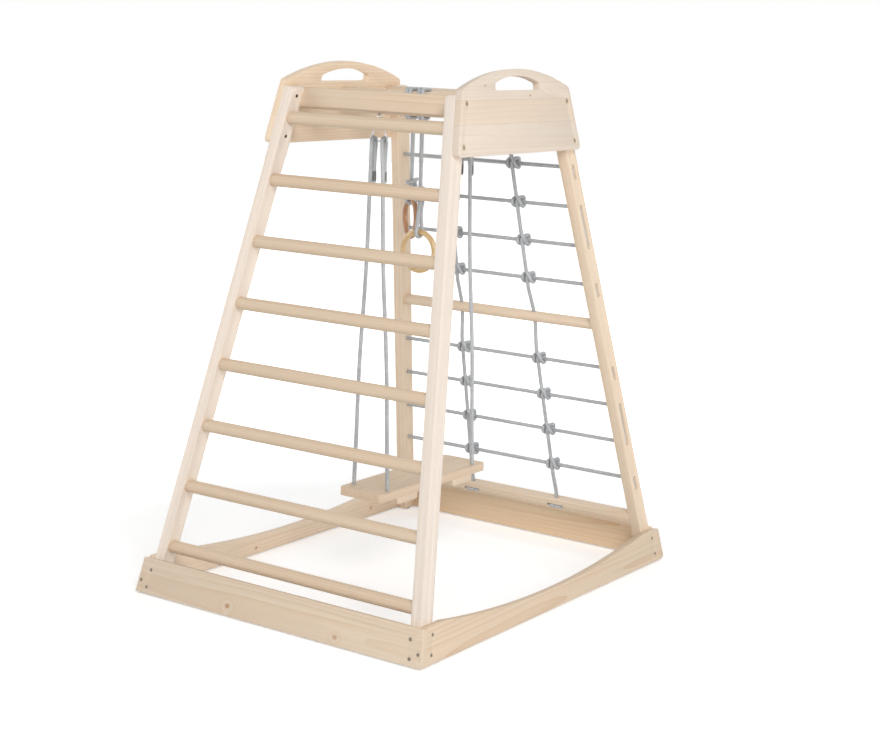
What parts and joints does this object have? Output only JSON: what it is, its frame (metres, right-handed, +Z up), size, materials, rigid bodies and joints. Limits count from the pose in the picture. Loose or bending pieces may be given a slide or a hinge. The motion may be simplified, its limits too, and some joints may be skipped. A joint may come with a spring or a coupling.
{
  "type": "indoor play tower",
  "caption": "Free-standing pine play tower: leaning posts with a rung ladder, a rope net, a swing between them and gymnastic rings under the top beam.",
  "frame": {"origin": "floor level, in the middle of the base", "axes": "+Z up, +X along the rungs, -Y the ladder side, +Y the net side"},
  "size_m": [0.849, 1.105, 1.275],
  "materials": {
    "pine": "planed and lightly oiled pine",
    "honey_wood": "glossy honey lacquer",
    "rope": "grey braided rope",
    "zinc": "bright zinc plated",
    "glide": "dark felt-soft plastic"
  },
  "bodies": {
    "tower": {"post_front_left": "pine", "post_front_right": "pine", "post_back_left": "pine", "post_back_right": "pine", "base_board_front": "pine", "base_board_back": "pine", "base_board_left": "pine", "base_board_right": "pine", "rung_1": "pine", "rung_2": "pine", "rung_3": "pine", "rung_4": "pine", "rung_5": "pine", "rung_6": "pine", "rung_7": "pine", "rung_8": "pine", "top_rail_front": "pine", "top_rail_back": "pine", "ring_beam": "pine", "side_panel_left": "pine", "side_panel_right": "pine", "net_bar": "pine", "net_sill": "pine", "net_rope_upper": "rope", "net_rope_lower": "rope", "net_strand_left": "rope", "net_strand_right": "rope", "swing_eye_front": "zinc", "swing_eye_back": "zinc", "ring_wrap_front": "rope", "ring_wrap_back": "rope", "panel_bolts": "zinc", "panel_nuts": "zinc", "base_screws": "zinc", "rail_dowels": "pine", "glides": "glide"},
    "swing": {"swing_link_front": "zinc", "swing_link_back": "zinc", "swing_ropes_front": "rope", "swing_ropes_back": "rope", "swing_seat": "pine", "seat_batten_front": "pine", "seat_batten_back": "pine", "batten_screws": "zinc"},
    "ring_hanger_front": {"ring_rope_front": "rope"},
    "ring_hanger_back": {"ring_rope_back": "rope"},
    "ring_front": {"ring_front": "honey_wood"},
    "ring_back": {"ring_back": "honey_wood"}
  },
  "joints": [
    {"name": "swing_hinge", "type": "hinge", "parent": "tower", "child": "swing", "pos_m": [0, 0, 1.14614], "axis": [0, 1, 0], "range_deg": [-40, 40]},
    {"name": "ring_front_swing", "type": "hinge", "parent": "tower", "child": "ring_hanger_front", "pos_m": [0.006, -0.0188, 1.1357], "axis": [1, 0, 0], "range_deg": [-20, 0]},
    {"name": "ring_back_swing", "type": "hinge", "parent": "tower", "child": "ring_hanger_back", "pos_m": [-0.048, 0.0188, 1.1357], "axis": [1, 0, 0], "range_deg": [0, 20]},
    {"name": "ring_front_turn", "type": "hinge", "parent": "ring_hanger_front", "child": "ring_front", "pos_m": [0.006, -0.0188, 0.827], "axis": [0, 1, 0], "continuous": true},
    {"name": "ring_back_turn", "type": "hinge", "parent": "ring_hanger_back", "child": "ring_back", "pos_m": [-0.048, 0.0188, 0.902], "axis": [0.6018, 0.7986, 0], "continuous": true}
  ]
}
